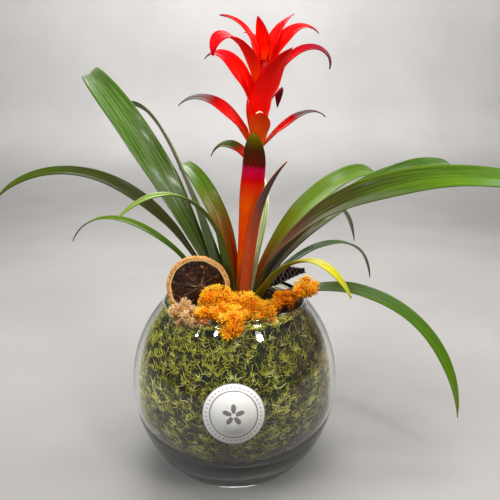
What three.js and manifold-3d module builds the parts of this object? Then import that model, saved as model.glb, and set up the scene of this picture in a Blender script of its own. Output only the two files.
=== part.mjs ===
import * as THREE from "three";
import { mergeVertices } from "three/addons/utils/BufferGeometryUtils.js";
import Module from "manifold-3d";

// A flowering guzmania planted in a round glass bowl that is lined with moss. Millimetres, +Z up.
// The origin is the centre of the bowl's flat foot. The bowl is seen from the -Y side.

const wasm = await Module();
wasm.setup();

const GAP = 0.35;

const bowl = {
  radius: 100,
  bellyHeight: 84,
  outerRise: 108.7,
  innerRise: 107,
  footRadius: 60,
  mouthRadius: 67,
  rimHeight: 167.3,
  wall: 4,
  floor: 9,
  sides: 40,
};

const filling = {
  faceting: 0.3,
  mossDepth: 16,
  top: 156.5,
  mound: 157.5,
  innerCurve: 2.5,
};

const label = { radius: 26, thickness: 0.4, height: 99, azimuth: -89, tilt: 8 };

const crown = {
  x: 6,
  height: 157,
  plateRadius: 19.5,
  rootRadius: 7,
  rootHeight: 112,
  lean: 5.5,
};

const scape = { footRadius: 5, topRadius: 3, length: 230, sides: 12 };

// Blades: thickness at the foot, the leaf rings' radii, and how tightly a foot clasps the stalk
const blade = {
  across: 4,
  thickness: 0.9,
  ring: 9,
  pitch: 1.3,
  lift: 0.6,
  footWidth: 14,
  clasp: 1.85,
  closest: 0.7,
};
const leafHabit = { hug: 0.1, widen: 0.35, taper: 3.5, rows: 14 };
const bractHabit = { widen: 0.35, taper: 2.2, rows: 9 };

// Each leaf: azimuth and sideways drift in degrees, angles of rise at the foot and at the tip.
// The ring counts outward from the flower stalk, and a flatter leaf has a higher ring.
const leaves = [
  { name: "leaf_right_low", ring: 7, azimuth: 7, drift: -52, length: 268, width: 21,
    rise: 24, tip: -86, bend: 1.08, roll: 25 },
  { name: "leaf_left_low", ring: 6, azimuth: 172, drift: -14, length: 201, width: 9,
    rise: 50, tip: -65, bend: 2.4, roll: 20 },
  { name: "leaf_front_right", ring: 5, azimuth: -53, drift: -14, length: 166, width: 12,
    rise: 53, tip: -42, bend: 1.9, roll: 10 },
  { name: "leaf_back_right", ring: 6, azimuth: 32, drift: 34, length: 250, width: 10,
    rise: 54, tip: -58, bend: 0.86, roll: 15 },
  { name: "leaf_front_left", ring: 5, azimuth: 237, drift: 5, length: 216, width: 9,
    rise: 89, tip: -30, bend: 1.3, roll: 20 },
  { name: "leaf_left_arching", ring: 4, azimuth: 190, drift: 4, length: 258, width: 20,
    rise: 60, tip: -48, bend: 2.4, roll: 30 },
  { name: "leaf_right_glossy", ring: 4, azimuth: 17, drift: 46, length: 378, width: 28,
    rise: 77, tip: -12, bend: 0.54, roll: 35 },
  { name: "leaf_right_broad", ring: 2, azimuth: -10, drift: 2, length: 345, width: 34,
    rise: 88, tip: -21, bend: 0.62, roll: 40 },
  { name: "leaf_back_hanging", ring: 5, azimuth: 48, drift: 22, length: 322, width: 11,
    rise: 68, tip: -52, bend: 0.8, roll: 0 },
  { name: "leaf_left_broad", ring: 3, azimuth: 163, drift: -72, length: 412, width: 34,
    rise: 62, tip: -28, bend: 2.2, roll: 35 },
  { name: "leaf_right_upper", ring: 3, azimuth: 31, drift: 42, length: 335, width: 24,
    rise: 77, tip: -34, bend: 0.84, roll: 35 },
  { name: "leaf_left_behind", ring: 2, azimuth: 144, drift: -10, length: 275, width: 17,
    rise: 64, tip: -40, bend: 4.6, roll: -45 },
  { name: "leaf_back_left", ring: 1, azimuth: 120, drift: -20, length: 170, width: 16,
    rise: 70, tip: 5, bend: 1.6, roll: 0 },
  { name: "leaf_left_inner", ring: 0, azimuth: 146, drift: -48, length: 216, width: 21,
    rise: 89, tip: -32, bend: 1.5, roll: 20 },
  { name: "leaf_back_upright", ring: 0, azimuth: 32, drift: 90, length: 145, width: 15, rise: 82,
    tip: 45, bend: 1.5, roll: 0 },
];

// Each bract starts at a height above the leaf crown, measured along the leaning stalk.
const bracts = [
  { name: "scape_leaf_right", start: 8, foot: 7.8, azimuth: -75, drift: 50, length: 142, width: 12,
    rise: 88, tip: 50, bend: 2, hug: 0.3, roll: -40 },
  { name: "scape_sheath", start: 12, foot: 5.9, azimuth: -106, drift: -5, length: 152, width: 33,
    rise: 87, tip: 90, bend: 2, hug: 0.9, roll: 0, taper: 9, widen: 0.75 },
  { name: "bract_left_small", start: 135, foot: 5.6, azimuth: 156, drift: 0, length: 50, width: 20,
    rise: 49, tip: -84, bend: 1.8, hug: 0.3, roll: 25 },
  { name: "bract_left_long", start: 152, foot: 5.2, azimuth: 172, drift: 0, length: 86, width: 24,
    rise: 52, tip: -56, bend: 2.4, hug: 0.3, roll: 35, taper: 1.4, widen: 0.2 },
  { name: "bract_right_long", start: 152, foot: 5.2, azimuth: 6, drift: 15, length: 71, width: 17,
    rise: 49, tip: -42, bend: 3.2, hug: 0.3, roll: 25, taper: 1.2 },
  { name: "bract_front_cup", start: 146, foot: 6, azimuth: -86, drift: 0, length: 36, width: 22,
    rise: 80, tip: 66, bend: 1.5, hug: 0.5, roll: 0, taper: 7, widen: 0.8 },
  { name: "bract_right_curled", start: 182, foot: 5, azimuth: 53, drift: 40, length: 58, width: 16,
    rise: 66, tip: -110, bend: 1.8, hug: 0.3, roll: 0 },
  { name: "bract_back_low", start: 154, foot: 6, azimuth: 96, drift: 0, length: 90, width: 24,
    rise: 70, tip: -50, bend: 2.2, hug: 0.3, roll: 0 },
  { name: "bract_front_main", start: 170, foot: 5, azimuth: -66, drift: 12, length: 75, width: 30,
    rise: 84, tip: 25, bend: 1.4, hug: 0.3, roll: 0, widen: 0.2 },
  { name: "bract_left_curled", start: 178, foot: 5, azimuth: 163, drift: -20, length: 84, width: 24,
    rise: 66, tip: -50, bend: 3, hug: 0.3, roll: 30 },
  { name: "bract_right_drooping", start: 197, foot: 4.6, azimuth: 2, drift: 4, length: 84, width: 20,
    rise: 64, tip: -108, bend: 2.8, hug: 0.3, roll: 25 },
  { name: "bract_front_left", start: 202, foot: 4.6, azimuth: 212, drift: 25, length: 80, width: 26,
    rise: 62, tip: -116, bend: 2.5, hug: 0.3, roll: 20 },
  { name: "bract_back_middle", start: 190, foot: 4.6, azimuth: 105, drift: 0, length: 74, width: 20,
    rise: 72, tip: -40, bend: 2, hug: 0.3, roll: 0 },
  { name: "bract_right_upper", start: 214, foot: 4.6, azimuth: 32, drift: 0, length: 76, width: 19,
    rise: 70, tip: -38, bend: 2.3, hug: 0.3, roll: 25 },
  { name: "bract_top_left", start: 221, foot: 4.6, azimuth: 176, drift: 0, length: 56, width: 15,
    rise: 72, tip: -5, bend: 1.7, hug: 0.3, roll: 20 },
  { name: "bract_top_back", start: 218, foot: 5.8, azimuth: 121, drift: 0, length: 50, width: 14,
    rise: 72, tip: 0, bend: 1.5, hug: 0.3, roll: 0 },
  { name: "bract_top_right", start: 226, foot: 5, azimuth: 62, drift: -20, length: 56, width: 13,
    rise: 74, tip: 30, bend: 1, hug: 0.3, roll: 0 },
  { name: "bract_top_front", start: 224, foot: 3.9, azimuth: 236, drift: 0, length: 35, width: 18,
    rise: 84, tip: 50, bend: 1.2, hug: 0.3, roll: 0 },
  { name: "bract_top_inner", start: 224, foot: 3.9, azimuth: 10, drift: 0, length: 34, width: 10,
    rise: 84, tip: 60, bend: 1.2, hug: 0.3, roll: 0 },
];

const finish = {
  glass: { color: 0xdfe6e2, roughness: 0.05, metalness: 0 },
  moss: { color: 0x6a7028, roughness: 0.95, metalness: 0 },
  soil: { color: 0x2a1c12, roughness: 1, metalness: 0 },
  stem: { color: 0xa8702a, roughness: 0.6, metalness: 0 },
  leaf: { color: 0x3f6b1c, roughness: 0.35, metalness: 0 },
  bract: { color: 0xd02a1c, roughness: 0.4, metalness: 0 },
  petal: { color: 0xf0e2b0, roughness: 0.5, metalness: 0 },
  orangeLichen: { color: 0xf09418, roughness: 0.95, metalness: 0 },
  tanLichen: { color: 0xd8b070, roughness: 0.95, metalness: 0 },
  peel: { color: 0x8a4a16, roughness: 0.7, metalness: 0 },
  cone: { color: 0x4a3426, roughness: 0.85, metalness: 0 },
  paper: { color: 0xefeae4, roughness: 0.6, metalness: 0 },
};

const model = new THREE.Group();

function addMesh(name, geometry, look, parent = model) {
  const mesh = new THREE.Mesh(geometry, new THREE.MeshStandardMaterial(look));
  mesh.name = name;
  parent.add(mesh);
  return mesh;
}

// Solids that are joined or cut

function toSolid(geometry) {
  const bare = geometry.clone();
  bare.deleteAttribute("normal");
  bare.deleteAttribute("uv");
  const merged = mergeVertices(bare, 1e-4);
  const mesh = new wasm.Mesh({
    numProp: 3,
    vertProperties: new Float32Array(merged.attributes.position.array),
    triVerts: new Uint32Array(merged.index.array),
  });
  return new wasm.Manifold(mesh);
}

function fromSolid(solid) {
  const mesh = solid.getMesh();
  const geometry = new THREE.BufferGeometry();
  geometry.setAttribute("position", new THREE.BufferAttribute(mesh.vertProperties, 3));
  geometry.setIndex(new THREE.BufferAttribute(mesh.triVerts, 1));
  return geometry;
}

// Turned shapes: a profile of [radius, height] points, from the axis back to the axis or closed

function turned(profile, sides = bowl.sides) {
  const points = profile.map(([r, z]) => new THREE.Vector2(r, z));
  const geometry = new THREE.LatheGeometry(points, sides);
  return geometry.rotateX(Math.PI / 2);
}

function outerRadius(z) {
  return bowl.radius * Math.sqrt(1 - ((z - bowl.bellyHeight) / bowl.outerRise) ** 2);
}

function steps(from, to, count) {
  return Array.from({ length: count + 1 }, (_, i) => from + ((to - from) * i) / count);
}

// The inside of the glass, drawn smaller by an inset: a full round floor and a closing shoulder
function innerCurve(inset, top, lowSteps = 7, highSteps = 5) {
  const radius = bowl.radius - bowl.wall - inset;
  const depth = bowl.bellyHeight - bowl.floor - inset;
  const rise = bowl.innerRise - inset;
  const power = 2 / filling.innerCurve;
  const low = steps(0, Math.PI / 2, lowSteps).map((a) => [
    radius * Math.sin(a) ** power,
    bowl.bellyHeight - depth * Math.max(0, Math.cos(a)) ** power,
  ]);
  const end = Math.asin((top - bowl.bellyHeight) / rise);
  const high = steps(0, end, highSteps)
    .slice(1)
    .map((a) => [radius * Math.cos(a), bowl.bellyHeight + rise * Math.sin(a)]);
  low[0][0] = 0;
  return low.concat(high);
}

function makeBowl() {
  const footEdge = 2;
  const first = Math.asin((footEdge - bowl.bellyHeight) / bowl.outerRise);
  const last = Math.acos(bowl.mouthRadius / bowl.radius);
  const outside = steps(first, last, 12).map((a) => [
    bowl.radius * Math.cos(a),
    bowl.bellyHeight + bowl.outerRise * Math.sin(a),
  ]);
  const inside = innerCurve(0, bowl.rimHeight - 2.4).reverse();
  const lip = [
    [bowl.mouthRadius - 0.7, bowl.rimHeight - 0.7],
    [bowl.mouthRadius - 1.9, bowl.rimHeight],
    [bowl.mouthRadius - 3.1, bowl.rimHeight - 0.7],
  ];
  return turned([[0, 0], [bowl.footRadius, 0], ...outside, ...lip, ...inside]);
}

function makeMoss() {
  const outside = innerCurve(GAP + filling.faceting, filling.top);
  const inside = innerCurve(filling.mossDepth, filling.top - 1, 5, 4).reverse();
  return turned([...outside, ...inside]);
}

function soilOutline(inset, top) {
  return [...innerCurve(filling.mossDepth + inset, filling.top - 1, 5, 4), [20, top], [0, top]];
}

// The upright line of the crown and the leaning line of the flower stalk
const crownFoot = new THREE.Vector3(crown.x, 0, crown.height);

function crownProfile(grow) {
  return [
    [0, crown.rootHeight - grow],
    [crown.rootRadius + grow, crown.rootHeight - grow],
    [crown.rootRadius + 4 + grow, crown.rootHeight + 15],
    [crown.plateRadius + grow, crown.height - 6],
    [crown.plateRadius + grow, crown.height],
  ];
}

function makeSoil() {
  const body = toSolid(turned(soilOutline(GAP, filling.mound)));
  const socket = turned([...crownProfile(GAP), [crown.plateRadius + GAP, 200], [0, 200]], 24);
  socket.translate(crown.x, 0, 0);
  return fromSolid(body.subtract(toSolid(socket)));
}

// Short thick stem in the soil, grown as one piece with the flower stalk
function makeStem() {
  const root = turned([...crownProfile(0), [0, crown.height]], 24).translate(crown.x, 0, 0);
  const stalk = turned(
    [
      [0, -4],
      [scape.footRadius, -4],
      [scape.footRadius, 10],
      [scape.topRadius + 1, scape.length * 0.75],
      [scape.topRadius, scape.length],
      [0, scape.length + 3],
    ],
    scape.sides,
  );
  stalk.rotateY(THREE.MathUtils.degToRad(crown.lean));
  stalk.translate(crown.x, 0, crown.height);
  return fromSolid(toSolid(root).add(toSolid(stalk)));
}

// A leaf or a bract: a thin curved strap along an arching midrib

function smooth(t) {
  const x = Math.min(1, Math.max(0, t));
  return x * x * (3 - 2 * x);
}

// Half the width along the blade: a clasping foot, a long strap and a pointed tip
function halfWidth(item, t, startRadius) {
  const foot = Math.min(item.width, blade.footWidth, startRadius * blade.clasp);
  const strap = foot + (item.width - foot) * smooth(t / item.widen);
  const point = (1 - t ** item.taper) ** 0.85;
  return (strap / 2) * point;
}

function makeBlade(item, startRadius, startHeight) {
  const rows = item.rows;
  const radians = THREE.MathUtils.degToRad;
  const fine = 8;
  const count = rows * fine;
  const step = item.length / count;
  const azimuth = radians(item.azimuth);
  const place = new THREE.Vector3(Math.cos(azimuth), Math.sin(azimuth), 0);
  place.multiplyScalar(startRadius).setZ(startHeight);
  const positions = [];
  const indices = [];
  const across = blade.across;
  const ringSize = across * 2;

  function section(t, centre) {
    const rise = radians(item.rise + (item.tip - item.rise) * t ** item.bend);
    const heading = azimuth + radians(item.drift) * t ** 1.5;
    const along = new THREE.Vector3(
      Math.cos(rise) * Math.cos(heading),
      Math.cos(rise) * Math.sin(heading),
      Math.sin(rise),
    );
    const side = new THREE.Vector3(-Math.sin(heading), Math.cos(heading), 0);
    const facing = Math.cos(azimuth) < 0 ? -1 : 1;
    side.applyAxisAngle(along, facing * radians(item.roll) * smooth((t - 0.08) / 0.5));
    const inward = new THREE.Vector3().crossVectors(side, along).negate();
    const half = halfWidth(item, t, startRadius);
    const away = Math.hypot(centre.x, centre.y);
    const open = item.width * 0.8;
    const wrap = Math.max(away + (open - away) * smooth((t - item.hug) / 0.25), half * blade.closest);
    const thick = blade.thickness * (1 - 0.5 * t) * Math.min(1, half / 2);
    const top = [];
    const under = [];
    for (let j = 0; j <= across; j++) {
      const u = (j / across) * 2 - 1;
      const turn = (u * half) / wrap;
      const lift = thick * 0.5 * (1 - u * u);
      for (const [list, sign] of [[top, 1], [under, -1]]) {
        const radius = wrap - sign * lift;
        const point = centre.clone();
        point.addScaledVector(side, radius * Math.sin(turn));
        point.addScaledVector(inward, wrap - radius * Math.cos(turn));
        list.push(point);
      }
    }
    return { top, under, along };
  }

  const centres = [place.clone()];
  for (let i = 0; i < count; i++) {
    const t = (i + 0.5) / count;
    centres.push(centres[i].clone().addScaledVector(section(t, centres[i]).along, step));
  }
  for (let i = 0; i < rows; i++) {
    const { top, under } = section(i / rows, centres[i * fine]);
    for (const p of [...top, ...under.slice(1, -1).reverse()]) {
      positions.push(p.x, p.y, p.z);
    }
  }
  const tip = centres[count];
  positions.push(tip.x, tip.y, tip.z);
  for (let i = 0; i < rows - 1; i++) {
    for (let j = 0; j < ringSize; j++) {
      const a = i * ringSize + j;
      const b = i * ringSize + ((j + 1) % ringSize);
      if (j < across) {
        indices.push(a, b + ringSize, b, a, a + ringSize, b + ringSize);
      } else {
        indices.push(a, a + ringSize, b, a + ringSize, b + ringSize, b);
      }
    }
  }
  const last = (rows - 1) * ringSize;
  for (let j = 0; j < ringSize; j++) {
    indices.push(last + ((j + 1) % ringSize), last + j, rows * ringSize);
  }
  for (let j = 0; j < across; j++) {
    const a = j;
    const b = j + 1;
    const c = (ringSize - j - 1) % ringSize;
    const d = (ringSize - j) % ringSize;
    if (j > 0) {
      indices.push(a, b, d);
    }
    if (j < across - 1) {
      indices.push(b, c, d);
    }
  }
  const geometry = new THREE.BufferGeometry();
  geometry.setAttribute("position", new THREE.Float32BufferAttribute(positions, 3));
  geometry.setIndex(indices);
  return geometry;
}

// Paper label that follows the round glass
function makeLabel() {
  const reach = label.radius + 6;
  const heights = steps(label.height - reach, label.height + reach, 12);
  const curve = (grow) => heights.map((z) => [outerRadius(z) + grow, z]);
  const outer = curve(GAP + label.thickness);
  const band = turned([...outer, ...curve(GAP).reverse(), outer[0]]);
  const punch = new THREE.CylinderGeometry(label.radius, label.radius, label.radius * 2, 36);
  punch.rotateX(-THREE.MathUtils.degToRad(label.tilt));
  punch.translate(0, -bowl.radius, label.height);
  punch.rotateZ(THREE.MathUtils.degToRad(label.azimuth + 90));
  return fromSolid(toSolid(band).intersect(toSolid(punch)));
}

// Dried decorations on top of the moss

// The filled bowl grown by the gap, so that what lies on it can be cut to sit on it
function makeBed() {
  const inside = innerCurve(GAP + filling.faceting, bowl.rimHeight - 2.4);
  const shoulder = inside.filter(([, z]) => z > filling.top + 2).reverse();
  const first = Math.asin((bowl.floor - bowl.bellyHeight) / bowl.outerRise);
  const last = Math.acos(bowl.mouthRadius / bowl.radius);
  const outside = steps(first, last, 12).map((a) => [
    bowl.radius * Math.cos(a) + GAP,
    bowl.bellyHeight + bowl.outerRise * Math.sin(a),
  ]);
  const wallAtTop = innerCurve(GAP + filling.faceting, filling.top + GAP).pop();
  const profile = [
    [0, bowl.floor],
    ...outside,
    [bowl.mouthRadius - 0.4, bowl.rimHeight - 0.4],
    [bowl.mouthRadius - 1.9, bowl.rimHeight + GAP],
    [bowl.mouthRadius - 3.4, bowl.rimHeight - 0.4],
    ...shoulder,
    wallAtTop,
    [46, filling.top - 1 + GAP],
    [20, filling.mound + GAP],
    [0, filling.mound + GAP],
  ];
  return toSolid(turned(profile));
}

// Round lumps grown together into one clump: [x, y, z, half length, half depth, half height]
function lumps(list, grow = 0) {
  return list
    .map(([x, y, z, a, b, c]) => {
      const lump = new THREE.IcosahedronGeometry(1, 2);
      lump.scale(a + grow, b + grow, c + grow);
      return toSolid(lump.translate(x, y, z));
    })
    .reduce((whole, lump) => whole.add(lump));
}

// The clump without the crumbs that the cuts leave
function clump(solid) {
  const pieces = solid.decompose().sort((a, b) => b.volume() - a.volume());
  return fromSolid(pieces[0]);
}

const orangeHeap = [
  [-14, -38, 173, 20, 15, 19],
  [9, -38, 168, 20, 14, 17],
  [27, -40, 164, 13, 12, 13],
  [-6, -52, 168, 23, 13, 9],
  [-28, -50, 165, 12, 10, 9],
  [-3, -65, 169, 11, 10, 7],
  [-2, -69, 162, 11, 9, 9],
];
const rimHeap = [
  [68, -13, 179, 10.5, 10.5, 10.5],
  [54, -18, 173, 12, 9, 9],
  [43, -20, 168, 9, 8, 10],
];
const tanHeap = [
  [-42, -42, 166, 13, 9, 9],
  [-31, -51, 163, 14, 8, 8],
];
const slice = { radius: 28.5, thickness: 6, x: -32, y: -27, z: 184.6, turn: 5, lean: 5 };

function makeSlice(grow = 0) {
  const radius = slice.radius + grow;
  const half = slice.thickness / 2 + grow;
  const disc = turned([[0, -half], [radius - 2, -half], [radius, 0], [radius - 2, half], [0, half]], 32);
  disc.rotateX(Math.PI / 2 - THREE.MathUtils.degToRad(slice.lean));
  disc.rotateZ(THREE.MathUtils.degToRad(slice.turn));
  return disc.translate(slice.x, slice.y, slice.z);
}

const cone = { length: 60, radius: 14, x: 44, y: 38, z: 176.4, turn: 0, tilt: 8 };

function makeCone() {
  const outline = [
    [0, 0],
    [0.6, 0.02],
    [0.95, 0.14],
    [1, 0.28],
    [0.86, 0.45],
    [0.6, 0.65],
    [0.38, 0.82],
    [0.16, 0.96],
    [0, 1],
  ];
  const profile = outline.map(([r, t]) => [r * cone.radius, (t - 0.5) * cone.length]);
  const body = turned(profile, 20);
  body.rotateY(Math.PI / 2 - THREE.MathUtils.degToRad(cone.tilt));
  body.rotateZ(THREE.MathUtils.degToRad(cone.turn));
  return body.translate(cone.x, cone.y, cone.z);
}

const flower = { start: 165, foot: 8.4, azimuth: -89, length: 17, radius: 2, spread: 2.2, rise: 82 };

function makeFlower() {
  const profile = [
    [0, 0],
    [0.6, 0.04],
    [1, 0.4],
    [0.9, 0.75],
    [0.5, 0.95],
    [0, 1],
  ].map(([r, t]) => [r * flower.radius, t * flower.length]);
  const bud = turned(profile, 12).scale(1, flower.spread, 1);
  bud.rotateY(THREE.MathUtils.degToRad(90 - flower.rise));
  bud.translate(flower.foot, 0, flower.start);
  return bud.rotateZ(THREE.MathUtils.degToRad(flower.azimuth));
}

addMesh("glass_bowl", makeBowl(), finish.glass);
addMesh("paper_label", makeLabel(), finish.paper);
addMesh("moss_lining", makeMoss(), finish.moss);
addMesh("potting_soil", makeSoil(), finish.soil);
addMesh("flower_stem", makeStem(), finish.stem);

const rosette = new THREE.Group();
rosette.position.copy(crownFoot);
model.add(rosette);
for (const leaf of leaves) {
  const radius = blade.ring + blade.pitch * leaf.ring;
  const shape = makeBlade({ ...leafHabit, ...leaf }, radius, blade.lift);
  addMesh(leaf.name, shape, finish.leaf, rosette);
}

const spike = new THREE.Group();
spike.position.copy(crownFoot);
spike.rotation.y = THREE.MathUtils.degToRad(crown.lean);
model.add(spike);
for (const bract of bracts) {
  const shape = makeBlade({ ...bractHabit, ...bract }, bract.foot, bract.start);
  addMesh(bract.name, shape, finish.bract, spike);
}

addMesh("flower_front", makeFlower(), finish.petal, spike);

const bed = makeBed();
const clearOfSlice = toSolid(makeSlice(GAP));
const orangeMass = lumps(orangeHeap).subtract(bed).subtract(clearOfSlice);
const tanMass = lumps(tanHeap).subtract(bed).subtract(clearOfSlice).subtract(lumps(orangeHeap, GAP));
addMesh("orange_lichen_heap", clump(orangeMass), finish.orangeLichen);
addMesh("orange_lichen_rim", clump(lumps(rimHeap).subtract(bed)), finish.orangeLichen);
addMesh("tan_lichen", clump(tanMass), finish.tanLichen);
addMesh("dried_orange_slice", makeSlice(), finish.peel);
addMesh("pine_cone", makeCone(), finish.cone);

export default model;
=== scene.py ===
from math import acos, asin, atan2, cos, degrees, exp, hypot, pi, radians, sin, sqrt, tau
from random import choice, gauss, random, seed

import bmesh
import bpy
from mathutils import Matrix, Vector
from mathutils.noise import noise


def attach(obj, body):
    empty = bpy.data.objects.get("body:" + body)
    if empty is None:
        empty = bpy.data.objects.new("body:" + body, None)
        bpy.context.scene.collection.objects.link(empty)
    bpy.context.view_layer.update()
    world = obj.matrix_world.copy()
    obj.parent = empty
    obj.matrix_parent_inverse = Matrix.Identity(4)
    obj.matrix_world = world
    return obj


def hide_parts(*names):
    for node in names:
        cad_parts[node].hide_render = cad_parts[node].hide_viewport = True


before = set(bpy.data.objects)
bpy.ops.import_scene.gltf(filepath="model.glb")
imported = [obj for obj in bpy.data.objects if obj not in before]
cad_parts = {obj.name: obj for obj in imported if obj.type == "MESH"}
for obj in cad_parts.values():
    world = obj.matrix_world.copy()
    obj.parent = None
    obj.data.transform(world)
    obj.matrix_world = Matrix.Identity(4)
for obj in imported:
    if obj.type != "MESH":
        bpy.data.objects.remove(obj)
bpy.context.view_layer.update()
scene = bpy.context.scene
mm = 0.001
up = Vector((0, 0, 1))


# Colours and nodes

def srgb(code):
    parts = [int(code[i:i + 2], 16) / 255 for i in (0, 2, 4)]
    return tuple(c / 12.92 if c <= 0.04045 else ((c + 0.055) / 1.055) ** 2.4 for c in parts) + (1.0,)


# Sets a node up: its settings by their lower-case names, its sockets in their order or by name
def fill(node, *values, **named):
    for name, value in named.items():
        if name[0].islower():
            setattr(node, name, value)
    wanted = list(zip([socket for socket in node.inputs if socket.enabled], values))
    wanted += [(node.inputs[name.replace("_", " ")], named[name]) for name in named if name[0].isupper()]
    for socket, value in wanted:
        if isinstance(value, bpy.types.NodeSocket):
            node.id_data.links.new(value, socket)
        else:
            socket.default_value = value


# Adds a node to the material in hand and returns its first output, or the one named
def add(kind, *values, out=None, stops=None, **named):
    node = tree.nodes.new("ShaderNode" + kind)
    fill(node, *values, **named)
    if stops:
        spots = node.color_ramp.elements
        while len(spots) < len(stops):
            spots.new(0.5)
        for spot, (place, code) in zip(spots, stops.items()):
            spot.position = place
            spot.color = srgb(code)
    return node.outputs[out] if out else [socket for socket in node.outputs if socket.enabled][0]


# Settings that many nodes share
soft = {"interpolation_type": "SMOOTHSTEP"}
blend = {"data_type": "RGBA"}
plus, minus, times, timesPlus = ({"operation": word} for word in (
    "ADD", "SUBTRACT", "MULTIPLY", "MULTIPLY_ADD"))


def newMaterial(name):
    global tree
    material = bpy.data.materials.new(name)
    material.use_nodes = True
    tree = material.node_tree
    return material, tree.nodes["Principled BSDF"]


# Pieces

def newPiece(name, bm, materials, slot, replaced=()):
    mesh = bpy.data.meshes.new(name)
    bm.to_mesh(mesh)
    bm.free()
    mesh.shade_smooth()
    piece = bpy.data.objects.new(name, mesh)
    scene.collection.objects.link(piece)
    for material in materials:
        mesh.materials.append(material)
    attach(piece, "root")
    if replaced:
        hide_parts(*replaced)
    return piece


def turned(profile, sides):
    bm = bmesh.new()
    points = [bm.verts.new((r * mm, 0, z * mm)) for r, z in profile]
    edges = [bm.edges.new(pair) for pair in zip(points, points[1:])]
    bmesh.ops.spin(bm, geom=points + edges, cent=(0, 0, 0), axis=up, angle=tau, steps=sides, use_merge=True)
    bmesh.ops.remove_doubles(bm, verts=bm.verts, dist=1e-6)
    bmesh.ops.recalc_face_normals(bm, faces=bm.faces)
    return bm


def template(bm, name="template"):
    mesh = bpy.data.meshes.new(name)
    bm.to_mesh(mesh)
    bm.free()
    return mesh


def tube(bm, start, end, foot, top):
    along = Vector(end) - Vector(start)
    turn = up.rotation_difference(along).to_matrix().to_4x4()
    bmesh.ops.create_cone(bm, cap_ends=True, segments=3, radius1=foot, radius2=top, depth=along.length,
                          matrix=Matrix.Translation((Vector(start) + Vector(end)) / 2) @ turn)


def mapUv(bm, name, place):
    layer = bm.loops.layers.uv.new(name)
    for face in bm.faces:
        for loop in face.loops:
            loop[layer].uv = place(loop.vert)


# Copies of one small template, each bent to its place by its own function. UV "Tint" holds the
# copy's own shade across and the height in the template along. Small batches keep this quick.
def scattered(name, small, placers, materials, slot, replaced=(), batch=60):
    whole = bmesh.new()
    for first in range(0, len(placers), batch):
        part = bmesh.new()
        for placer, shade in placers[first:first + batch]:
            vertCount, faceCount = len(part.verts), len(part.faces)
            part.from_mesh(small)
            part.verts.ensure_lookup_table()
            part.faces.ensure_lookup_table()
            tint = part.loops.layers.uv.get("Tint") or part.loops.layers.uv.new("Tint")
            for face in part.faces[faceCount:]:
                for loop in face.loops:
                    loop[tint].uv = (shade, loop.vert.co.z)
            for vert in part.verts[vertCount:]:
                vert.co = placer(vert.co)
        batchMesh = template(part)
        whole.from_mesh(batchMesh)
        bpy.data.meshes.remove(batchMesh)
    return newPiece(name, whole, materials, slot, replaced)


def around(radius, angle, z):
    return Vector((radius * cos(angle), radius * sin(angle), z))


def clamped(t):
    return min(1.0, max(0.0, t))


def smooth(t):
    t = clamped(t)
    return t * t * (3 - 2 * t)


def spread(least, most):
    return least + (most - least) * random()


# Camera, light and backdrop

camera = bpy.data.objects.new("camera", bpy.data.cameras.new("camera"))
scene.collection.objects.link(camera)
camera.data.lens = 36
camera.data.sensor_width = 36
camera.location = (0.015, -0.457, 0.330)
camera.rotation_euler = (radians(90 - 14.5), 0, 0)
scene.camera = camera

# Metres: a flat floor that sweeps up into a wall behind
studio = {"sky": "e2e4e6", "skyStrength": 0.3, "side": 6.0, "front": -1.6, "depth": 3.4, "ahead": 4.0,
          "wall": 2.6}

floorBm = bmesh.new()
bmesh.ops.create_grid(floorBm, x_segments=1, y_segments=24, size=1.0)
for vert in floorBm.verts:
    turn = (vert.co.y + 1) / 2  # 0 in front, 1 at the top of the sweep
    bend = smooth((turn - 0.45) / 0.25)
    ahead = studio["ahead"] if turn < 0.01 else 0.0
    back = studio["front"] - ahead + studio["depth"] * min(turn, 0.62) / 0.62 + 0.25 * bend
    vert.co = (vert.co.x * studio["side"], back, studio["wall"] * max(0.0, turn - 0.5) * bend)
floorMesh = template(floorBm, "floor")
floorMesh.shade_smooth()
floor = bpy.data.objects.new("floor", floorMesh)
scene.collection.objects.link(floor)
# Painted board: rough 0.7, a shade darker where it lies flat
board, shader = newMaterial("Pale studio sweep")
place = add("TexCoord", out="Object")
mottle = add("TexNoise", place, 3.0, 4.0, 0.55)
height = add("MapRange", add("SeparateXYZ", place, out="Z"), 0.0, 0.3, 0.0, 1.0, **soft)
flat = add("ValToRGB", mottle, stops={0.3: "84827f", 0.7: "8e8c8a"})
upright = add("ValToRGB", mottle, stops={0.3: "b0aeac", 0.7: "bab8b6"})
fill(shader, Base_Color=add("Mix", height, flat, upright, **blend), Roughness=0.7)
floorMesh.materials.append(board)

world = bpy.data.worlds.new("studio")
world.use_nodes = True
fill(world.node_tree.nodes["Background"], srgb(studio["sky"]), studio["skyStrength"])
scene.world = world
scene.view_settings.view_transform = "Standard"


# The big soft lamps light the plant without showing as panels in the glass; the spots do show
def lamp(name, place, size, power, code="ffffff", target=(0, 0, 0.22), shows=False):
    light = bpy.data.lights.new(name, "AREA")
    light.shape = "DISK"
    light.size = size
    light.energy = power
    light.color = srgb(code)[:3]
    obj = bpy.data.objects.new(name, light)
    scene.collection.objects.link(obj)
    obj.location = place
    obj.rotation_euler = (Vector(target) - Vector(place)).to_track_quat("-Z", "Y").to_euler()
    obj.visible_glossy = shows
    obj.visible_transmission = shows


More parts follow.
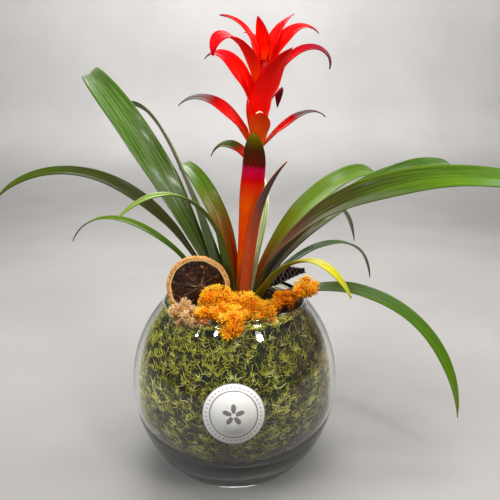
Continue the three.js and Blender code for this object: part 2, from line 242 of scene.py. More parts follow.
lamp("overhead", (0.1, -0.25, 1.35), 0.8, 13, "fff8f0")
lamp("left wide", (-0.95, -0.55, 0.75), 0.6, 7, "f4f8ff")
lamp("right fill", (1.0, -0.2, 0.7), 0.6, 3.5)
lamp("back light", (-0.1, 0.8, 0.95), 0.7, 6, shows=True)
lamp("wall wash", (0.0, 0.6, 1.9), 1.2, 60, target=(0, 1.9, 0.8))
lamp("front spot", (0.60, -0.66, 1.06), 0.18, 5, "fffaf4", shows=True)
lamp("left spot", (-0.40, -0.65, 1.14), 0.11, 2, "fffaf4", shows=True)
lamp("far left spot", (-0.81, -0.47, 0.99), 0.07, 0.9, "fffaf4", shows=True)
lamp("shine", (0.75, 0.35, 1.1), 0.3, 3, "f4f8ff", shows=True)
print("stage done")


# Leaves and bracts: a strap along an arching midrib, on the same line as the CAD's blades

crown = {"x": 6, "height": 157, "lean": 5.5, "ring": 9, "pitch": 1.3, "footWidth": 14, "clasp": 1.85,
         "closest": 0.7}


def halfWidth(item, t):
    foot = min(item["width"], crown["footWidth"], item["foot"] * crown["clasp"])
    strap = foot + (item["width"] - foot) * smooth(t / item["widen"])
    return strap / 2 * max(0.0, 1 - t ** item["taper"]) ** item["point"]


# Gives a function for the place in mm at (across -1..1, along 0..1), and the way in there
def bladeSurface(item, count=160):
    azimuth = radians(item["azimuth"])
    facing = -1 if cos(azimuth) < 0 else 1
    centre = Vector((cos(azimuth), sin(azimuth), 0)) * item["foot"]
    centre.z = item["start"]
    rows = []
    for i in range(count + 1):
        t = i / count
        rise = radians(item["rise"] + (item["tip"] - item["rise"]) * t ** item["bend"])
        heading = azimuth + radians(item["drift"]) * t ** 1.5
        along = around(cos(rise), heading, sin(rise))
        side = Vector((-sin(heading), cos(heading), 0))
        side.rotate(Matrix.Rotation(facing * radians(item["roll"]) * smooth((t - 0.08) / 0.5), 3, along))
        half = halfWidth(item, t)
        away = hypot(centre.x, centre.y)
        wide = item["width"] * item["open"]
        wrap = max(away + (wide - away) * smooth((t - item["hug"]) / 0.25), half * crown["closest"])
        rows.append((centre.copy(), side, -side.cross(along), half, wrap))
        centre = centre + along * (item["length"] / count)

    def place(across, along):
        i = min(int(along * count), count - 1)
        found = []
        for middle, side, inward, half, wrap in rows[i:i + 2]:
            half = max(half, 0.12)
            turn = across * half / wrap
            wave = item["wave"] * sin(along * item["length"] / 17 + across * 2 + item["azimuth"])
            crease = -item["crease"] * exp(-(across / 0.16) ** 2)
            lift = wave * across * across * smooth(along * 3) + crease * min(1.0, half / 4)
            radius = wrap - lift
            found.append(middle + side * radius * sin(turn) + inward * (wrap - radius * cos(turn)))
        return found[0].lerp(found[1], along * count - i), rows[i][2]

    return place


# One leaf surface: colour runs along the blade, with fine parallel veins and long soft streaks. Streaks
# and midrib take the light colour, a paler leaf tone; on left_broad and back_upright it is a painted
# highlight. Waxy leaf skin: IOR 1.45, roughness 0.3 to 0.45, a thin coat for the streaky shine.
def leafMaterial(name, look, stops):
    material, shader = newMaterial(name)
    across, along = add("SeparateXYZ", add("UVMap", uv_map="Blade")).node.outputs[:2]
    size = add("UVMap", uv_map="Size")
    streak = add("TexNoise", add("Mapping", size, Scale=(420, 14, 1)), 1.0, 3.0, 0.55)  # 2 mm by 70 mm
    patch = add("TexNoise", add("Mapping", size, Scale=(60, 25, 1)), 1.0, 3.0, 0.55)
    edge = add("Math", add("Math", across, 0.5, **minus), operation="ABSOLUTE")
    shifted = add("Math", add("Math", streak, 0.5, **minus), look["ragged"], along, **timesPlus)
    colour = add("ValToRGB", shifted, stops=stops)
    fade = add("MapRange", shifted, look["fade"], look["fade"] + 0.15, 1.0, 0.0, **soft)
    for value, least, most, share, code in (
            (streak, 0.42, 0.7, look["streak"], "light"), (patch, 0.35, 0.75, 0.35, "dark"),
            (edge, 0.43, 0.5, look["rim"], "edge")):
        amount = add("Math", add("MapRange", value, least, most, 0.0, share, **soft), fade, **times)
        colour = add("Mix", amount, colour, srgb(look[code]), **blend)
    midrib = add("MapRange", edge, 0.0, 0.035, look["midrib"], 0.0, **soft)
    colour = add("Mix", midrib, colour, srgb(look["light"]), **blend)
    colour = add("HueSaturation", look["hue"], look["vivid"], look["value"], 1.0, colour)
    # Veins 1.2 mm apart
    veins = add("TexWave", size, 262.0, 0.6, 1.0, out="Fac", wave_type="BANDS", bands_direction="X")
    height = add("Math", veins, 0.5, add("Math", streak, 0.9, **times), **timesPlus)
    rough = add("MapRange", streak, 0.3, 0.7, look["rough"] - 0.06, look["rough"] + 0.12, **soft)
    fill(shader, Base_Color=colour, Roughness=rough, IOR=1.45, Specular_IOR_Level=look["specular"],
         Coat_Weight=look["coat"], Coat_Roughness=0.2,
         Normal=add("Bump", Strength=0.35, Distance=0.0004, Height=height))
    return material


def growBlade(name, item, slot):
    bm = bmesh.new()
    bmesh.ops.create_grid(bm, x_segments=item["across"], y_segments=item["along"], size=1.0)
    width, length = item["width"] * mm, item["length"] * mm
    mapUv(bm, "Blade", lambda vert: (vert.co.x / 2 + 0.5, (vert.co.y + 1) / 2))
    mapUv(bm, "Size", lambda vert: (vert.co.x / 2 * width, (vert.co.y + 1) / 2 * length))
    surface = bladeSurface(item)
    leaning = Matrix.Rotation(radians(item["lean"]), 4, "Y")
    leaning = Matrix.Translation((crown["x"], 0, crown["height"])) @ leaning
    for vert in bm.verts:
        vert.co = (leaning @ surface(vert.co.x, (vert.co.y + 1) / 2)[0]) * mm
    bm.normal_update()
    bm.faces.ensure_lookup_table()
    inward = leaning.to_3x3() @ surface(0, 1 / 3)[1]
    if bm.faces[len(bm.faces) // 3].normal.dot(inward) < 0:
        bmesh.ops.reverse_faces(bm, faces=bm.faces)
    label = "Guzmania " + name.replace("_", " ")
    skins = [leafMaterial(label + ending, item, item.get("skin") or item[face])
             for ending, face in ((" upper skin", "colours"), (" underside", "under"))]
    shell = newPiece("look_" + name, bm, skins, slot, [name]).modifiers.new("thickness", "SOLIDIFY")
    shell.thickness = item["thick"] * mm
    shell.offset = 0
    shell.material_offset = 1
    shell.material_offset_rim = 0


# Each ramp runs from foot to tip: "colours" on the inner face, "under" on the outer, "skin" on both.
# Lengths are in mm and angles in degrees: "rise" is the slope at the foot, "tip" at the tip.
plainLeaf = {"colours": {0: "4a4a18", 0.25: "3f6626", 0.7: "4f7d31", 1: "5c7f3a"},
             "under": {0: "5a5228", 0.4: "55703a", 1: "5f7c40"}, "light": "7fa552", "dark": "2b4a1c",
             "edge": "6a7a3a", "streak": 0.35, "rim": 0.3, "midrib": 0.3, "rough": 0.36, "coat": 0.12,
             "vivid": 1.2, "value": 0.6, "hue": 0.478, "specular": 0.32, "ragged": 0.22, "fade": 2.0,
             "start": 0.6, "lean": 0, "hug": 0.1, "widen": 0.35, "taper": 3.5, "point": 0.85, "open": 0.8,
             "wave": 0.5, "crease": 0.7, "thick": 0.8, "across": 12, "along": 72}
leafColumns = ("ring", "azimuth", "drift", "length", "width", "rise", "tip", "bend", "roll")
leaves = {
    "leaf_right_low": [(7, 7, -52, 268, 21, 24, -86, 1.08, 25),
        dict(colours={0: "2f2a10", 0.2: "3a4316", 0.5: "3f6d22", 0.85: "568a30", 1: "8a9a48"})],
    "leaf_left_low": [(6, 172, -14, 201, 9, 50, -65, 2.4, 20),
        dict(colours={0: "44501e", 0.3: "4d7a2c", 1: "6f9a3c"})],
    "leaf_front_right": [(5, -53, -14, 166, 12, 53, -42, 1.9, 10),
        dict(colours={0: "4a4614", 0.45: "6a6a18", 0.62: "b4b41c", 0.8: "d4d81a", 1: "a8b428"}, value=0.6,
             light="e0e44a", dark="7a8418", edge="d2d848", streak=0.25)],
    "leaf_back_right": [(6, 32, 34, 250, 10, 54, -58, 0.86, 15),
        dict(colours={0: "2f3a20", 0.3: "3f5f34", 0.7: "56724a", 1: "6a7a5c"}, light="8a9c78")],
    "leaf_front_left": [(5, 237, 5, 216, 9, 89, -30, 1.3, 20),
        dict(colours={0: "33300f", 0.3: "4a5218", 0.55: "66903a", 1: "84a854"}, light="94b464")],
    "leaf_left_arching": [(4, 190, 4, 258, 20, 60, -48, 2.4, 30),
        dict(colours={0: "2c2410", 0.35: "303214", 0.7: "3c4c1c", 0.9: "50702c", 1: "6a8c3c"},
             light="5c6c34", dark="1e2410", coat=0.05, specular=0.2, value=0.4)],
    "leaf_right_glossy": [(4, 17, 46, 378, 28, 77, -12, 0.54, 35),
        dict(colours={0: "5c2610", 0.18: "462410", 0.3: "303412", 0.5: "38601f", 1: "467e2c"}, coat=0.25,
             rough=0.3, specular=0.25)],
    "leaf_right_broad": [(2, -10, 2, 345, 34, 88, -21, 0.62, 40),
        dict(colours={0: "7e3010", 0.18: "6c2a10", 0.28: "3e220e", 0.42: "2e3410", 0.56: "42661e",
             0.72: "52842e", 1: "609444"}, coat=0.1, specular=0.2, value=0.56)],
    "leaf_back_hanging": [(5, 48, 22, 322, 11, 68, -52, 0.8, 0),
        dict(colours={0: "33401c", 0.6: "55762c", 0.85: "8a8c38", 1: "8a7c34"})],
    # left_broad's pale streaks are a painted highlight along the blade
    "leaf_left_broad": [(3, 163, -72, 412, 34, 62, -28, 2.2, 35),
        dict(colours={0: "4c4a20", 0.2: "3f5c26", 0.55: "4b7a30", 1: "56803a"}, under={0: "5c3c34",
             0.5: "644840", 1: "5f6a3c"}, coat=0.35, rough=0.3, light="b4c89c", streak=0.32, value=0.5)],
    "leaf_right_upper": [(3, 31, 42, 335, 24, 77, -34, 0.84, 35),
        dict(colours={0: "b8431a", 0.1: "a8521c", 0.2: "7c7428", 0.32: "628430", 1: "4f8230"},
             value=0.58)],
    "leaf_left_behind": [(2, 144, -10, 275, 17, 64, -40, 4.6, -45),
        dict(colours={0: "3c3a24", 0.4: "456a2e", 1: "527c34"}, under={0: "5c403c", 0.5: "6c504a",
             0.75: "5c5a3c", 1: "56702f"}, value=0.95, vivid=0.9)],
    "leaf_back_left": [(1, 120, -20, 170, 16, 70, 5, 1.6, 0),
        dict(colours={0: "3a3a1c", 0.3: "2f4f22", 1: "3c6a2a"})],
    "leaf_left_inner": [(0, 146, -48, 216, 21, 89, -32, 1.5, 20),
        dict(colours={0: "c23a12", 0.22: "b8501a", 0.4: "77651f", 0.55: "44741e", 1: "4f8a26"},
             dark="5a4a1c")],
    # back_upright's near-white streaks and midrib are a painted highlight
    "leaf_back_upright": [(0, 32, 90, 145, 15, 82, 45, 1.5, 0),
        dict(colours={0: "a8b060", 0.3: "8fae52", 0.7: "6f9a3e", 1: "5f8a38"}, light="f0f4dc",
             streak=0.95, coat=0.4, value=1.25, vivid=0.95)],}

for name, (row, own) in leaves.items():
    item = {**plainLeaf, **dict(zip(leafColumns, row)), **own}
    item["foot"] = crown["ring"] + crown["pitch"] * item["ring"]
    growBlade(name, item, "leaf")
print("leaves done")

# Red bract skin, the same wax as a leaf: IOR 1.45, roughness 0.42, deep red patches, and darker red edges
# that are painted shade
redBract = {"colours": {0: "b0321a", 0.2: "c81d18", 0.8: "cf141c", 1: "8c1a1e"},
            "under": {0: "d0401c", 0.3: "dc1c14", 1: "d01414"}, "light": "f0200e", "dark": "b00808",
            "edge": "a01018", "streak": 0.3, "rim": 0.35, "midrib": 0.15, "rough": 0.42, "coat": 0.03,
            "vivid": 1.6, "value": 1.2, "hue": 0.5, "specular": 0.1, "ragged": 0.18, "fade": 2.0,
            "lean": crown["lean"], "widen": 0.35, "taper": 2.2, "point": 0.85, "open": 0.8, "wave": 0.4,
            "crease": 0.8, "thick": 0.75, "across": 12, "along": 40}
bractColumns = ("start", "foot", "azimuth", "drift", "length", "width", "rise", "tip", "bend", "hug", "roll")
lowColours = {0: "d8641c", 0.3: "d8341a", 0.7: "c81a1c", 1: "5a3a34"}
bracts = {
    "scape_leaf_right": [(8, 7.8, -75, 50, 142, 12, 88, 50, 2, 0.3, -40),
        dict(colours={0: "d0501c", 0.4: "c4481c", 0.58: "94402c", 0.7: "544042", 1: "3e403e"},
             under={0: "d8581c", 0.4: "cc481c", 0.58: "94402c", 0.7: "5a4446", 1: "40423e"},
             dark="3c3434", light="8c6a60", edge="d0481c", rim=0.6, vivid=1.0, value=1.0, streak=0.2)],
    "scape_sheath": [(12, 5.9, -106, -5, 152, 33, 87, 90, 2, 0.9, 0),
        dict(taper=9, widen=0.75, under={0: "dc9a24", 0.12: "de6c1c", 0.35: "dc4414", 0.58: "dc5426",
             0.7: "cc4440", 0.79: "b42848", 0.81: "542420", 0.9: "3c2418", 0.95: "52481c", 1: "706c20"},
             colours={0: "c87a20", 0.5: "b83020", 1: "3a3a20"}, dark="a8200c", light="c8582c",
             streak=0.06, midrib=0.0, vivid=1.2, value=0.98, fade=0.72, ragged=0.06)],
    "bract_left_small": [(135, 5.6, 156, 0, 50, 20, 49, -84, 1.8, 0.3, 25),
        dict(skin={0: "d8401c", 0.26: "c83428", 0.38: "6a3c28", 0.48: "3c4418", 1: "46501e"}, vivid=1.15,
             value=1.0, fade=0.32)],
    "bract_left_long": [(152, 5.2, 172, 0, 86, 24, 52, -56, 2.4, 0.3, 35),
        dict(taper=1.4, widen=0.2, skin={0: "d8501c", 0.3: "d0201a", 0.5: "b81c20", 0.62: "6c4444",
             0.74: "565050", 1: "4a4848"}, vivid=1.35, fade=0.5)],
    "bract_right_long": [(152, 5.2, 6, 15, 71, 17, 49, -42, 3.2, 0.3, 25),
        dict(taper=1.2, skin={0: "d8501c", 0.3: "cc241c", 0.46: "9a3030", 0.58: "5c4648", 1: "3c3838"},
             vivid=1.3, fade=0.46)],
    "bract_front_cup": [(146, 6, -86, 0, 36, 22, 80, 66, 1.5, 0.5, 0),
        dict(taper=7, widen=0.8, under={0: "c8601c", 0.5: "d8501a", 1: "c83018"}, colours=lowColours,
             vivid=1.35, value=1.05)],
    "bract_right_curled": [(182, 5, 53, 40, 58, 16, 66, -110, 1.8, 0.3, 0),
        dict(skin={0: "b8201a", 0.5: "9c2428", 0.75: "5c343a", 1: "3a3032"}, vivid=1.2)],
    "bract_back_low": [(154, 6, 96, 0, 90, 24, 70, -50, 2.2, 0.3, 0), dict(colours=lowColours)],
    # bract_front_main is painted brighter, with a bright red underside: painted light on its shaded downward
    # face
    "bract_front_main": [(170, 5, -66, 12, 75, 30, 84, 25, 1.4, 0.3, 0),
        dict(widen=0.2, under={0: "d01810", 0.4: "e81410", 1: "ec100c"}, light="f01008", dark="c00808",
             value=1.35)],
    # bract_left_curled is painted brighter: painted light on its shaded downward face
    "bract_left_curled": [(178, 5, 163, -20, 84, 24, 66, -50, 3, 0.3, 30),
        dict(skin={0: "d8281a", 0.5: "dc1a14", 0.8: "a82028", 0.88: "4a2028", 1: "2a161c"}, value=1.5)],
    "bract_right_drooping": [(197, 4.6, 2, 4, 84, 20, 64, -108, 2.8, 0.3, 25),
        dict(skin={0: "c8241a", 0.25: "cc1a1c", 0.42: "ac3436", 0.65: "7c4448", 1: "4a3438"}, vivid=1.4,
             fade=0.45)],
    "bract_front_left": [(202, 4.6, 212, 25, 80, 26, 62, -116, 2.5, 0.3, 20), dict(value=1.5)],
    "bract_back_middle": [(190, 4.6, 105, 0, 74, 20, 72, -40, 2, 0.3, 0), {}],
    "bract_right_upper": [(214, 4.6, 32, 0, 76, 19, 70, -38, 2.3, 0.3, 25),
        dict(colours={0: "c8201a", 0.8: "cc161a", 0.94: "6a2a2c", 1: "3a2a2c"})],
    "bract_top_left": [(221, 4.6, 176, 0, 56, 15, 72, -5, 1.7, 0.3, 20),
        dict(colours={0: "c8201a", 0.7: "cc161a", 0.85: "7a2a2c", 1: "4a2a2c"})],
    "bract_top_back": [(218, 5.8, 121, 0, 50, 14, 72, 0, 1.5, 0.3, 0), {}],
    "bract_top_right": [(226, 5, 62, -20, 56, 13, 74, 30, 1, 0.3, 0), {}],
    "bract_top_front": [(224, 3.9, 236, 0, 35, 18, 84, 50, 1.2, 0.3, 0), {}],
    "bract_top_inner": [(224, 3.9, 10, 0, 34, 10, 84, 60, 1.2, 0.3, 0), {}],}

for name, (row, own) in bracts.items():
    growBlade(name, {**redBract, **dict(zip(bractColumns, row)), **own}, "bract")
print("bracts done")


# Glass bowl

bowl = {"radius": 100, "belly": 84, "outerRise": 108.7, "innerRise": 107, "mouth": 67, "rim": 167.3,
        "wall": 4, "floor": 9, "power": 2.5}


def outerRadius(z):
    return bowl["radius"] * sqrt(max(0.0, 1 - ((z - bowl["belly"]) / bowl["outerRise"]) ** 2))


# Inside of the glass: 0 degrees at the floor's middle, 90 at the belly, more up the shoulder
def innerPoint(turn, inset=0.0):
    radius = bowl["radius"] - bowl["wall"] - inset
    angle = radians(turn)
    if turn <= 90:
        power = 2 / bowl["power"]
        depth = bowl["belly"] - bowl["floor"] - inset
        return radius * sin(angle) ** power, bowl["belly"] - depth * max(0.0, cos(angle)) ** power
    rise = bowl["innerRise"] - inset
    return radius * sin(angle), bowl["belly"] - rise * cos(angle)


def shoulderTurn(z):
    return degrees(pi - acos((z - bowl["belly"]) / bowl["innerRise"]))


def innerRadius(z, inset=0.0):
    radius = bowl["radius"] - bowl["wall"] - inset
    if z < bowl["belly"]:
        down = min(1.0, (bowl["belly"] - z) / (bowl["belly"] - bowl["floor"] - inset))
        return radius * max(0.0, 1 - down ** bowl["power"]) ** (1 / bowl["power"])
    return radius * sqrt(max(0.0, 1 - ((z - bowl["belly"]) / (bowl["innerRise"] - inset)) ** 2))


footAngle = asin((2.4 - bowl["belly"]) / bowl["outerRise"])
mouthAngle = acos(bowl["mouth"] / bowl["radius"])
outside = []
for i in range(41):
    a = footAngle + (mouthAngle - footAngle) * i / 40
    outside.append((bowl["radius"] * cos(a), bowl["belly"] + bowl["outerRise"] * sin(a)))
lip = [(66.85, 165.6), (66.3, 166.5), (65.5, 167.1), (64.9, 167.25), (64.2, 167.0), (63.5, 166.3),
       (63.2, 165.4)]
inside = [innerPoint(shoulderTurn(164.9) * (1 - i / 46)) for i in range(46)] + [(0.0, bowl["floor"])]
footCorner = [(0.0, 0.0), (30.0, 0.0), (58.6, 0.0), (60.6, 0.25), (62.2, 0.9)]

# Clear soda glass, IOR 1.5. Lamps shine through it, so the moss behind is lit like the leaves.
glass, shader = newMaterial("Clear glass")
smear = add("TexNoise", add("TexCoord", out="Object"), 22.0, 3.0, 0.55)  # faint wiping marks about 45 mm long
fill(shader, Base_Color=srgb("f4f8f6"), Transmission_Weight=1.0, IOR=1.5,
     Roughness=add("MapRange", smear, 0.45, 0.8, 0.02, 0.06, **soft))
clear = add("BsdfTransparent", srgb("f0f5f2"))
through = add("MixShader", add("LightPath", out="Is Shadow Ray"), shader.outputs[0], clear)
tree.links.new(through, tree.nodes["Material Output"].inputs[0])
bowlBm = turned(footCorner + outside + lip + inside, 144)
newPiece("look_glass_bowl", bowlBm, [glass], "glass", ["glass_bowl"])
print("bowl done")


# Moss: a dark bed, painted near black as the shade deep between the strands, with thousands of fine curly
# strands pressed against the glass

seed(11)
moss = {"bedInset": 3.9, "bedTop": 155.5, "bedWall": 17, "bedFloor": 26.5, "threads": 2900, "sprigs": 1000,
        "blades": 6, "shortest": 3, "longest": 7.5, "top": 159, "bottom": 11, "tufts": 1300, "steps": 4}

bedTurn = shoulderTurn(156)
bedOutside = [innerPoint(bedTurn * i / 40, moss["bedInset"]) for i in range(41)]
bedOutside[0] = (0.0, bowl["floor"] + moss["bedInset"])
bedInside = [innerPoint(bedTurn * (1 - i / 20), moss["bedWall"]) for i in range(20)]
bedInside = [(r, min(z, moss["bedTop"])) for r, z in bedInside] + [(0.0, moss["bedFloor"])]
mossBm = turned(bedOutside + bedInside, 96)
for vert in mossBm.verts:
    swell = noise(vert.co * 90) * 1.4 + noise(vert.co * 260) * 0.8
    vert.co += vert.normal * (swell - 0.5) * mm


# Dry moss: IOR 1.4, rough 0.9. Yellow-green tips over olive, brown and nearly black low down, at the right
# and in clumps: partly old moss and partly painted shade.
def mossMaterial(name, strands):
    material, shader = newMaterial(name)
    place = add("TexCoord", out="Object")
    if strands:
        clump = add("TexNoise", place, 42.0, 4.0, 0.65)  # clumps about 24 mm across
        x, y, z = add("SeparateXYZ", place).node.outputs
        # Darker towards the bottom: partly brown old moss, partly painted shade
        deep = add("MapRange", z, 0.012, 0.085, 0.46, 0.0, **soft)
        right = add("MapRange", x, 0.015, 0.08, 0.0, 1.0, **soft)
        ageAndShade = add("Math", right, add("MapRange", z, 0.09, 0.15, 0.14, 0.26, **soft),
                   add("Math", clump, deep, **plus), **timesPlus)
        tint = add("SeparateXYZ", add("UVMap", uv_map="Tint"), out="X")
        fresh = add("ValToRGB", tint, stops={0: "262604", 0.25: "7c780c", 0.5: "bab41c", 0.75: "e8e048",
                                             1: "f8f4b0"})
        old = add("ValToRGB", tint, stops={0: "160f05", 0.4: "6a4a18", 0.7: "a88434", 1: "e0cc88"})
        colour = add("Mix", add("MapRange", ageAndShade, 0.54, 0.72, 0.0, 1.0, **soft), fresh, old, **blend)
        rotAndShade = add("MapRange", ageAndShade, 0.72, 0.98, 0.0, 0.75, **soft)
        colour = add("Mix", rotAndShade, colour, srgb("140f06"), **blend)
        # Painted shade: darker in the clumps at the right and towards the bottom
        paintedShade = add("Math", clump, add("MapRange", x, 0.02, 0.09, 0.0, 0.7, **soft),
                     add("MapRange", z, 0.01, 0.1, 0.72, 0.0, **soft), **timesPlus)
        colour = add("Mix", paintedShade, colour, srgb("1e1e0a"), **blend)
    else:
        # The bed is dark moss, painted near black as the shade between the strands
        colour = add("ValToRGB", add("TexNoise", place, 700.0, 3.0, 0.55),  # strands 1.4 mm apart
                     stops={0.3: "080803", 0.55: "171806", 0.75: "2c2c0c"})
    fill(shader, Base_Color=colour, Roughness=0.9, IOR=1.4, Specular_IOR_Level=0.2)
    return material


newPiece("look_moss_bed", mossBm, [mossMaterial("Dark moss bed with painted shade", False)], "moss", ["moss_lining"])

strandBm = bmesh.new()
tube(strandBm, (0, 0, 0), (0, 0, 1), 0.5, 0.14)
for cut in (0.33, 0.67):
    bmesh.ops.bisect_plane(strandBm, geom=strandBm.verts[:] + strandBm.edges[:] + strandBm.faces[:],
                           plane_co=(0, 0, cut), plane_no=(0, 0, 1))
strand = template(strandBm)


# A line that wanders over the inside of the glass: places, and the outward normal there
def glassWalk(azimuth, z, heading, length, bend, deep, near):
    places = []
    step = length / moss["steps"]
    for i in range(moss["steps"] + 1):
        inset = deep + (near - deep) * i / moss["steps"]
        radius = innerRadius(z, inset)
        slope = (innerRadius(z + 1, inset) - innerRadius(z - 1, inset)) / 2
        places.append((around(radius, azimuth, z), around(1, azimuth, -slope).normalized()))
        azimuth += cos(heading) * step / max(radius, 20)
        z += sin(heading) * step / sqrt(1 + slope * slope)
        z = min(max(z, moss["bottom"]), moss["top"])
        heading += bend * step
    return places


# The same over the moss ring's top, with the strand's middle standing up
def topWalk(azimuth, radius, heading, length, bend):
    spot = around(radius, azimuth, moss["bedTop"] + 0.1)
    places = []
    for i in range(moss["steps"] + 1):
        places.append((spot + up * 3.2 * sin(pi * (i + 0.6) / (moss["steps"] + 1)), up))
        ahead = spot + around(1, heading, 0) * (length / moss["steps"])
        if 52 < hypot(ahead.x, ahead.y) < 66.5:
            spot = ahead
        heading += bend * length / moss["steps"]
    return places


def alongLine(places, thick):
    count = len(places) - 1
    frames = []
    for i, (spot, normal) in enumerate(places):
        ahead = places[min(i + 1, count)][0] - places[max(i - 1, 0)][0]
        side = ahead.cross(normal)
        frames.append((spot, side.normalized() if side.length > 1e-6 else up, normal))

    def placer(co):
        t = clamped(co.z) * count
        i = min(int(t), count - 1)
        found = [spot + side * co.x * thick + normal * (co.y * thick)
                 for spot, side, normal in frames[i:i + 2]]
        return found[0].lerp(found[1], t - i) * mm

    return placer


greenMoss = mossMaterial("Green moss strands", True)
for side, first in (("front", pi), ("back", 0.0)):
    strands = []
    for i in range(moss["threads"]):
        z = moss["bottom"] + 2 + (moss["top"] - moss["bottom"] - 3) * random() ** 0.9
        heading = choice((1, -1)) * gauss(radians(60), radians(50))
        walk = glassWalk(first + random() * pi, z, heading, spread(5, 11), gauss(0, 0.13), 3.4, 2.4)
        strands.append((alongLine(walk, spread(0.4, 0.7)), clamped(gauss(0.36, 0.2))))
    for i in range(moss["sprigs"]):
        azimuth = first + random() * pi
        z = moss["bottom"] + 1 + (moss["top"] - moss["bottom"] - 6) * random() ** 0.9
        heading = gauss(radians(90), radians(42))
        bright = gauss(0.6, 0.2)
        for k in range(moss["blades"]):
            fan = (k / (moss["blades"] - 1) - 0.5) * 2.1 + gauss(0, 0.15)
            walk = glassWalk(azimuth + gauss(0, 0.012), z + gauss(0, 1.2), heading + fan,
                             spread(moss["shortest"], moss["longest"]), -fan * 0.05 + gauss(0, 0.05),
                             spread(2.2, 3.4), spread(0.8, 1.8))
            strands.append((alongLine(walk, spread(0.4, 0.72)), clamped(bright + gauss(0, 0.14))))
    for i in range(moss["tufts"] // 2):
        walk = topWalk(first + random() * pi, spread(53, 66), random() * tau, spread(5, 11), gauss(0, 0.12))
        strands.append((alongLine(walk, spread(0.6, 1.0)), clamped(gauss(0.5, 0.25))))
    scattered("look_moss_strands_" + side, strand, strands, [greenMoss], "moss")
print("moss done")


# Potting soil with bark bits

seed(5)
soil = {"radius": 54, "bottom": 150, "top": 157.4, "chips": 320}
soilRings = [(0.0, soil["bottom"]), (soil["radius"] - 2, soil["bottom"]), (soil["radius"], soil["top"] - 1.2)]
soilRings += [(soil["radius"] - i * 4, soil["top"]) for i in range(1, 13)] + [(0.0, soil["top"])]
soilBm = turned(soilRings, 72)
for vert in soilBm.verts:
    if vert.co.z > 0.152:
        vert.co.z += (noise(vert.co * 120) * 1.0 + noise(vert.co * 420) * 0.8 - 0.5) * mm
# Damp peat and bark: IOR 1.35, rough 0.9, dark peat with painted shade making the hollows between crumbs near
# black
peat, shader = newMaterial("Damp potting mix")
crumbs = add("TexNoise", add("TexCoord", out="Object"), 420.0, 6.0, 0.7)  # crumbs of 2.4 mm
fill(shader, Base_Color=add("ValToRGB", crumbs, stops={0.3: "0f0a06", 0.55: "2c1d12", 0.75: "4e3a26"}),
     Roughness=0.9, IOR=1.35, Normal=add("Bump", Strength=0.9, Distance=0.002, Height=crumbs))
newPiece("look_soil", soilBm, [peat], "soil", ["potting_soil"])

chipBm = bmesh.new()
bmesh.ops.create_icosphere(chipBm, subdivisions=1, radius=1.0)
for vert in chipBm.verts:
    vert.co = Vector((vert.co.x, vert.co.y * 0.62, vert.co.z * 0.3)) * (1 + 0.25 * noise(vert.co * 2))
chip = template(chipBm)


def setDown(spot, size, turn):
    def placer(co):
        return (spot + turn @ (co * size)) * mm
    return placer


def randomTurn(tilt):
    turn = Matrix.Rotation(random() * tau, 3, "Z")
    return turn @ Matrix.Rotation(gauss(0, tilt), 3, "X") @ Matrix.Rotation(gauss(0, tilt), 3, "Y")


chips = []
for i in range(soil["chips"]):
    spot = around(20 + 35 * sqrt(random()), random() * tau, soil["top"] + spread(0.0, 1.2))
    chips.append((setDown(spot, spread(1.6, 4.2), randomTurn(0.35)), random()))
# Dry pine bark: rough 0.85, dull brown with dark fibres 2 mm apart
bark, shader = newMaterial("Bark bits")
tint = add("SeparateXYZ", add("UVMap", uv_map="Tint"), out="X")
grain = add("TexNoise", add("Mapping", add("TexCoord", out="Object"), Scale=(1, 1, 3)), 500.0, 4.0, 0.55)
colour = add("ValToRGB", tint, stops={0: "1c120b", 0.6: "3f2a1a", 1: "6e5136"})
dark = add("MapRange", grain, 0.4, 0.7, 0.0, 0.6, **soft)
fill(shader, Base_Color=add("Mix", dark, colour, srgb("1a100a"), **blend), Roughness=0.85,
     Normal=add("Bump", Strength=0.5, Distance=0.0006, Height=grain))
scattered("look_bark_bits", chip, chips, [bark], "soil")
print("soil done")


# Lichen: tufts of stubby forked tips grown outward from rounded heaps

dried = {"radius": 28.5, "thickness": 5.4, "centre": Vector((-32, -27, 184.6)), "turn": 5, "lean": 5,
         "segments": 10}
driedTurn = Matrix.Rotation(radians(90 - dried["lean"]), 3, "X")
driedTurn = Matrix.Rotation(radians(dried["turn"]), 3, "Z") @ driedTurn
driedAxis = driedTurn @ up


# Whether a spot is clear of the orange slice, the glass and the soil
def isFree(spot, gap=0.3, bottom=157):
    radius = hypot(spot.x, spot.y)
    fromSlice = spot - dried["centre"]
    beside = abs(fromSlice.dot(driedAxis))
    if beside < dried["thickness"] / 2 + gap and fromSlice.length < dried["radius"] + gap:
        return False
    if spot.z > bowl["rim"] + gap or radius > outerRadius(min(spot.z, bowl["rim"] - 2)) + gap:
        return True
    return radius < innerRadius(min(spot.z, 165), gap) - gap and spot.z > bottom


tuftBm = bmesh.new()
tube(tuftBm, (0, 0, 0), (0, 0, 0.4), 0.10, 0.075)
for i in range(3):
    a = i * tau / 3 + 0.4
    knee = around(0.26, a, 0.66)
    tube(tuftBm, (0, 0, 0.3), knee, 0.08, 0.06)
    for j in (-1, 1):
        tube(tuftBm, knee, knee + around(0.19, a + j * 0.75, 0.26 + 0.07 * j), 0.062, 0.034)
tuft = template(tuftBm)


def anyWay():
    return Vector((gauss(0, 1), gauss(0, 1), gauss(0, 1))).normalized()


# Small knobs budding from the big lumps, so that the heap is lumpy like a cauliflower
def budded(heap, count):
    knobs = []
    for x, y, z, a, b, c in heap:
        for i in range(count):
            way = anyWay()
            out = Vector((x + way.x * a * 0.74, y + way.y * b * 0.74, z + way.z * c * 0.74))
            if isFree(out, -1.0):
                knobs.append((*out, *(spread(3.4, 6.0) for k in range(3))))
    return knobs


